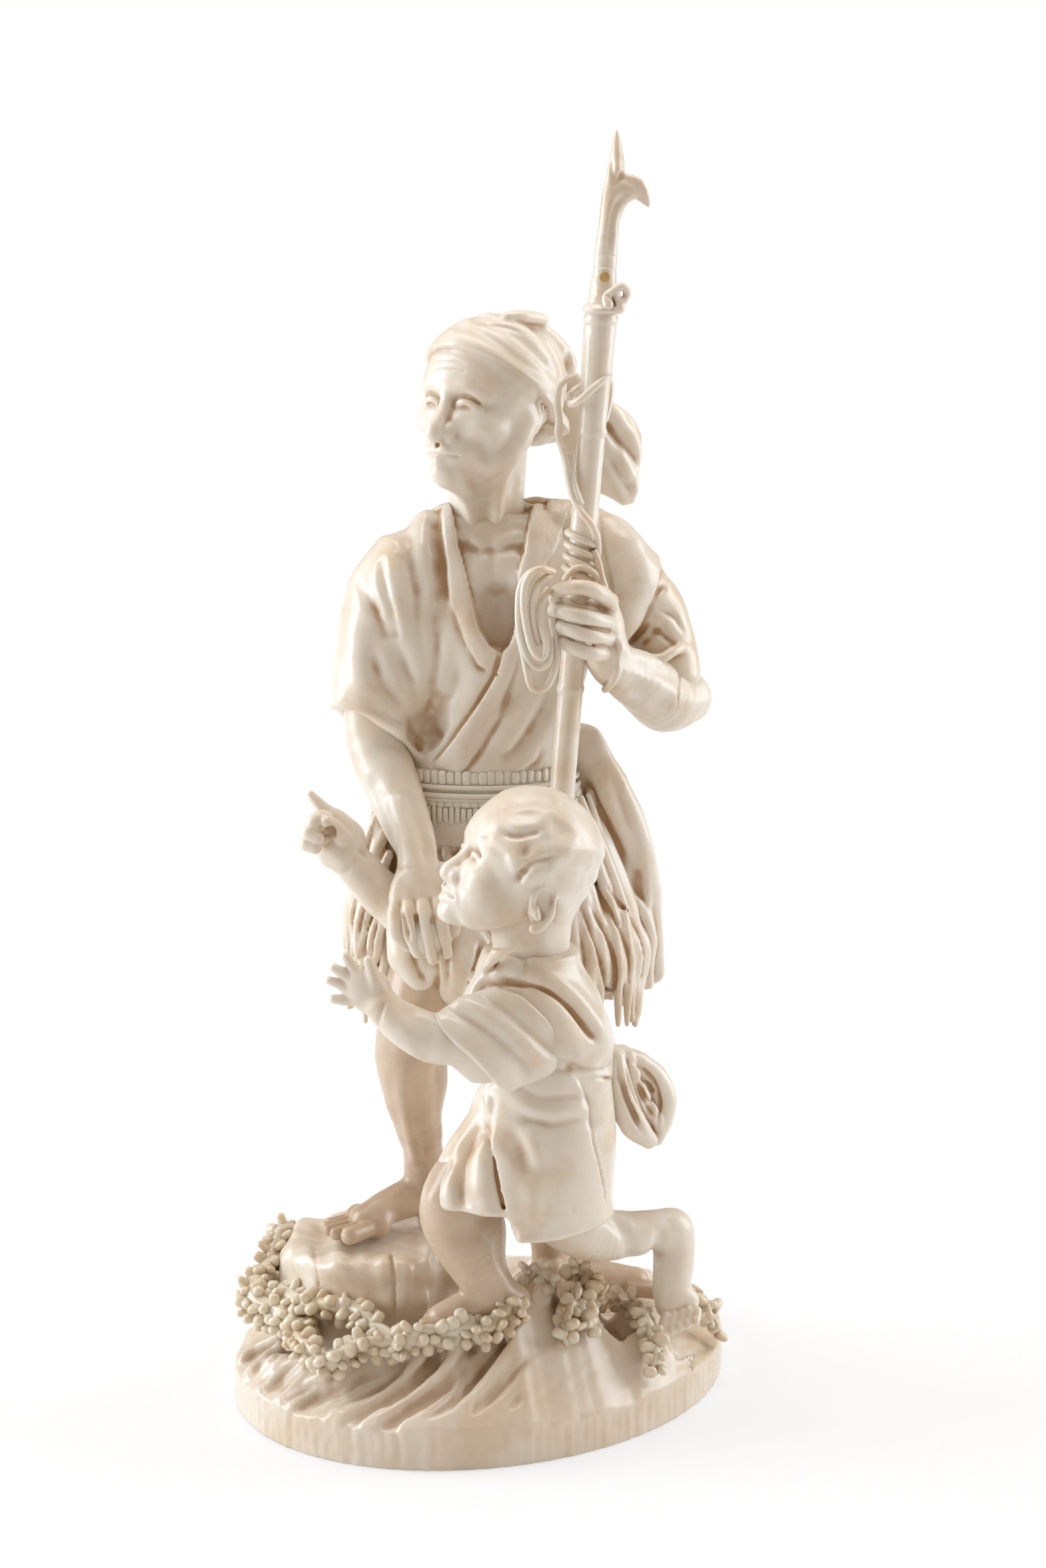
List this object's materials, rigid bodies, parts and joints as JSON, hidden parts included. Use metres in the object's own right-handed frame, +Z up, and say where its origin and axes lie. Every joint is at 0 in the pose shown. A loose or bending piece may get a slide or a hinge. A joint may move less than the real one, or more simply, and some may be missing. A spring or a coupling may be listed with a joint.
{
  "type": "carved figure group",
  "caption": "Carved ivory figure group: an old fisherman with a tall boat hook behind a running boy who points ahead, on an oval base of waves.",
  "frame": {"origin": "middle of the base's underside", "axes": "+Z up, -Y towards the front that the picture shows, +X to the right as seen from there"},
  "size_m": [0.1224, 0.1224, 0.31],
  "materials": {
    "ivory": "polished ivory with stained recesses",
    "ivory_base": "polished ivory with stained recesses",
    "amber_pin": "polished yellow pin"
  },
  "bodies": {
    "root": {"base_slab": "ivory_base", "rock": "ivory_base", "spray_rock": "ivory_base", "spray_front": "ivory_base", "spray_peaks": "ivory_base", "spray_right": "ivory_base", "man_head": "ivory", "head_cloth_tails": "ivory", "man_torso": "ivory", "man_sleeve_right": "ivory", "man_arm_right": "ivory", "man_arm_left": "ivory", "man_forearm_left": "ivory", "man_hand_left": "ivory", "man_hips": "ivory", "straw_belt": "ivory", "straw_skirt": "ivory", "coat_tails": "ivory", "man_leg_right": "ivory", "man_leg_left": "ivory", "pole_shaft": "ivory", "pole_ferrule": "ivory", "pole_hook": "ivory", "pole_pin": "amber_pin", "pole_knot": "ivory", "line_winding": "ivory", "line_hank": "ivory", "line_tie": "ivory", "line_tail": "ivory", "boy_head": "ivory", "boy_tunic": "ivory", "boy_sash": "ivory", "boy_bow": "ivory", "boy_sleeve": "ivory", "boy_arm_left": "ivory", "boy_arm_right": "ivory", "boy_leg_front": "ivory", "boy_leg_rear": "ivory", "limb_pegs": "ivory", "body_pegs": "ivory"}
  },
  "joints": []
}
